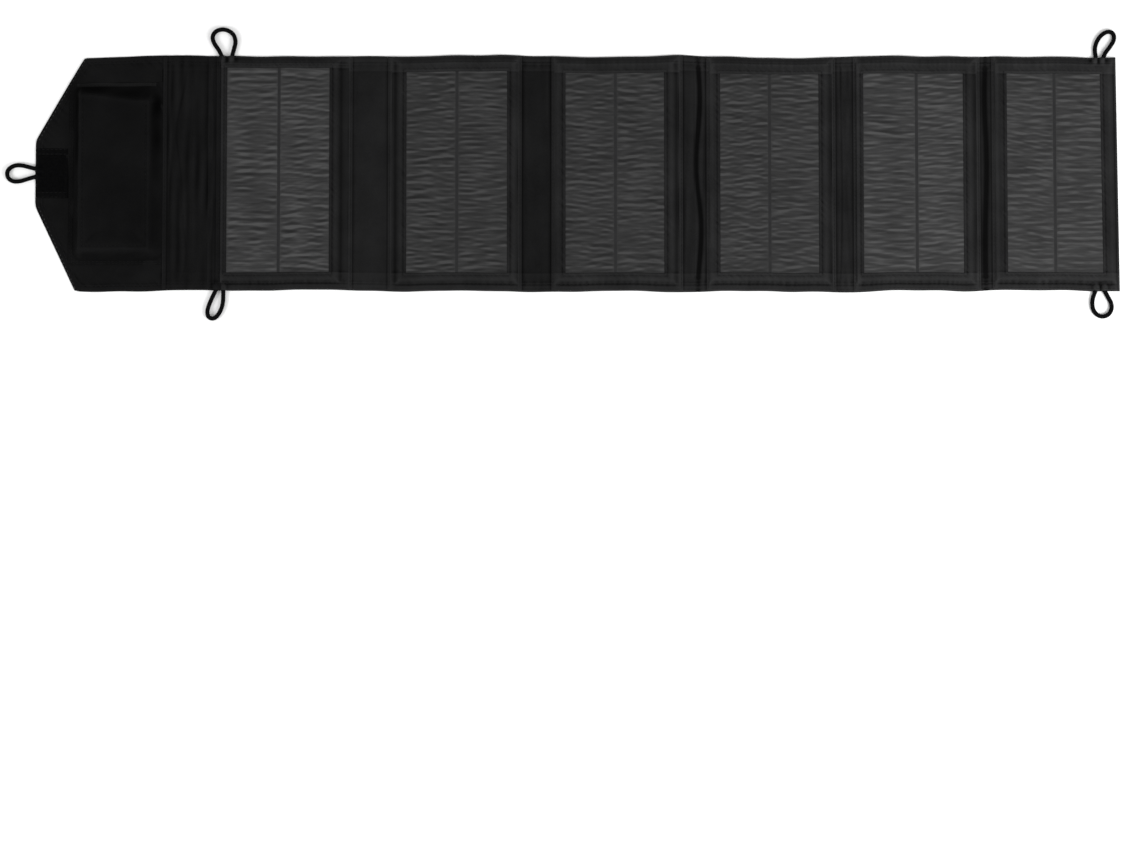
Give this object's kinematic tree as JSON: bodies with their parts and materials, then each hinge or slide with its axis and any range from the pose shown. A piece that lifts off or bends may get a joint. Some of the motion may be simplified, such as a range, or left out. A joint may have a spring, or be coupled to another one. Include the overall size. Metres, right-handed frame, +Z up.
{
  "type": "folding solar blanket",
  "caption": "Roll-folding cloth solar charger with stiff cell panels, fabric fold spines, a gusseted pocket flap holding a USB regulator, and elastic cord loops.",
  "frame": {"origin": "centre of the blanket's underside as it lies open and flat, without the cord loops", "axes": "+X along the row of panels from the flap to the last panel, +Y across them toward the pocket's mouth, +Z up out of the solar faces"},
  "size_m": [0.8962, 0.2374, 0.0105],
  "materials": {
    "canvas": "plain-weave coated polyester, matt",
    "pocket_cloth": "softer plain-weave polyester, matt",
    "hook_tape": "moulded nylon hooks, matt",
    "loop_tape": "brushed nylon loops, matt",
    "elastic_cord": "braided sheath over rubber strands",
    "silicon_cells": "dark monocrystalline silicon",
    "clear_laminate": "embossed clear polymer film, satin",
    "stiffener_board": "thin glass-fibre board",
    "copper_ribbon": "tinned copper ribbon",
    "case_plastic": "fine-textured moulded plastic",
    "circuit_board": "solder-masked circuit board",
    "socket_steel": "plated steel",
    "tongue_plastic": "moulded plastic",
    "screw_steel": "zinc-plated steel"
  },
  "bodies": {
    "flap": {"flap_back_cover": "canvas", "flap_lining": "canvas", "pocket_pouch": "pocket_cloth", "tip_hook_patch": "hook_tape", "pocket_mouth_tapes": "hook_tape", "charge_lead_flap": "copper_ribbon", "regulator_case_base": "case_plastic", "regulator_case_lid": "case_plastic", "regulator_board": "circuit_board", "usb_socket": "socket_steel", "usb_tongue": "tongue_plastic", "regulator_screws": "screw_steel", "loop_flap_tip": "elastic_cord"},
    "spine_0": {"spine_0_fabric": "canvas", "spine_0_wires": "copper_ribbon"},
    "spine_1": {"spine_1_fabric": "canvas", "spine_1_wires": "copper_ribbon"},
    "spine_2": {"spine_2_fabric": "canvas", "spine_2_wires": "copper_ribbon"},
    "spine_3": {"spine_3_fabric": "canvas", "spine_3_wires": "copper_ribbon"},
    "spine_4": {"spine_4_fabric": "canvas", "spine_4_wires": "copper_ribbon"},
    "spine_5": {"spine_5_fabric": "canvas", "spine_5_wires": "copper_ribbon"},
    "panel_1": {"panel_1_back_cover": "canvas", "panel_1_board": "stiffener_board", "panel_1_cells": "silicon_cells", "panel_1_film": "clear_laminate", "panel_1_front_frame": "canvas", "loop_near_left": "elastic_cord", "loop_far_left": "elastic_cord"},
    "panel_2": {"panel_2_back_cover": "canvas", "panel_2_board": "stiffener_board", "panel_2_cells": "silicon_cells", "panel_2_film": "clear_laminate", "panel_2_front_frame": "canvas", "panel_2_loop_patch": "loop_tape"},
    "panel_3": {"panel_3_back_cover": "canvas", "panel_3_board": "stiffener_board", "panel_3_cells": "silicon_cells", "panel_3_film": "clear_laminate", "panel_3_front_frame": "canvas"},
    "panel_4": {"panel_4_back_cover": "canvas", "panel_4_board": "stiffener_board", "panel_4_cells": "silicon_cells", "panel_4_film": "clear_laminate", "panel_4_front_frame": "canvas"},
    "panel_5": {"panel_5_back_cover": "canvas", "panel_5_board": "stiffener_board", "panel_5_cells": "silicon_cells", "panel_5_film": "clear_laminate", "panel_5_front_frame": "canvas"},
    "panel_6": {"panel_6_back_cover": "canvas", "panel_6_board": "stiffener_board", "panel_6_cells": "silicon_cells", "panel_6_film": "clear_laminate", "panel_6_front_frame": "canvas", "loop_near_right": "elastic_cord", "loop_far_right": "elastic_cord"}
  },
  "joints": [
    {"name": "fold_0_inner", "type": "hinge", "parent": "panel_1", "child": "spine_0", "pos_m": [-0.2911, 0, 0.0009], "axis": [0, 1, 0], "range_deg": [0, 90]},
    {"name": "fold_0_outer", "type": "hinge", "parent": "spine_0", "child": "flap", "pos_m": [-0.3296, 0, 0.0009], "axis": [0, 1, 0], "range_deg": [0, 90]},
    {"name": "fold_1_inner", "type": "hinge", "parent": "panel_1", "child": "spine_1", "pos_m": [-0.18, 0, 0.0009], "axis": [0, -1, 0], "range_deg": [0, 90]},
    {"name": "fold_1_outer", "type": "hinge", "parent": "spine_1", "child": "panel_2", "pos_m": [-0.1528, 0, 0.0009], "axis": [0, -1, 0], "range_deg": [0, 90]},
    {"name": "fold_2_inner", "type": "hinge", "parent": "panel_2", "child": "spine_2", "pos_m": [-0.0436, 0, 0.0009], "axis": [0, -1, 0], "range_deg": [0, 90]},
    {"name": "fold_2_outer", "type": "hinge", "parent": "spine_2", "child": "panel_3", "pos_m": [-0.0212, 0, 0.0009], "axis": [0, -1, 0], "range_deg": [0, 90]},
    {"name": "fold_3_inner", "type": "hinge", "parent": "panel_3", "child": "spine_3", "pos_m": [0.0861, 0, 0.0009], "axis": [0, -1, 0], "range_deg": [0, 90]},
    {"name": "fold_3_outer", "type": "hinge", "parent": "spine_3", "child": "panel_4", "pos_m": [0.1037, 0, 0.0009], "axis": [0, -1, 0], "range_deg": [0, 90]},
    {"name": "fold_4_inner", "type": "hinge", "parent": "panel_4", "child": "spine_4", "pos_m": [0.2091, 0, 0.0009], "axis": [0, -1, 0], "range_deg": [0, 90]},
    {"name": "fold_4_outer", "type": "hinge", "parent": "spine_4", "child": "panel_5", "pos_m": [0.222, 0, 0.0009], "axis": [0, -1, 0], "range_deg": [0, 90]},
    {"name": "fold_5_inner", "type": "hinge", "parent": "panel_5", "child": "spine_5", "pos_m": [0.3255, 0, 0.0009], "axis": [0, -1, 0], "range_deg": [0, 90]},
    {"name": "fold_5_outer", "type": "hinge", "parent": "spine_5", "child": "panel_6", "pos_m": [0.3335, 0, 0.0009], "axis": [0, -1, 0], "range_deg": [0, 90]}
  ]
}
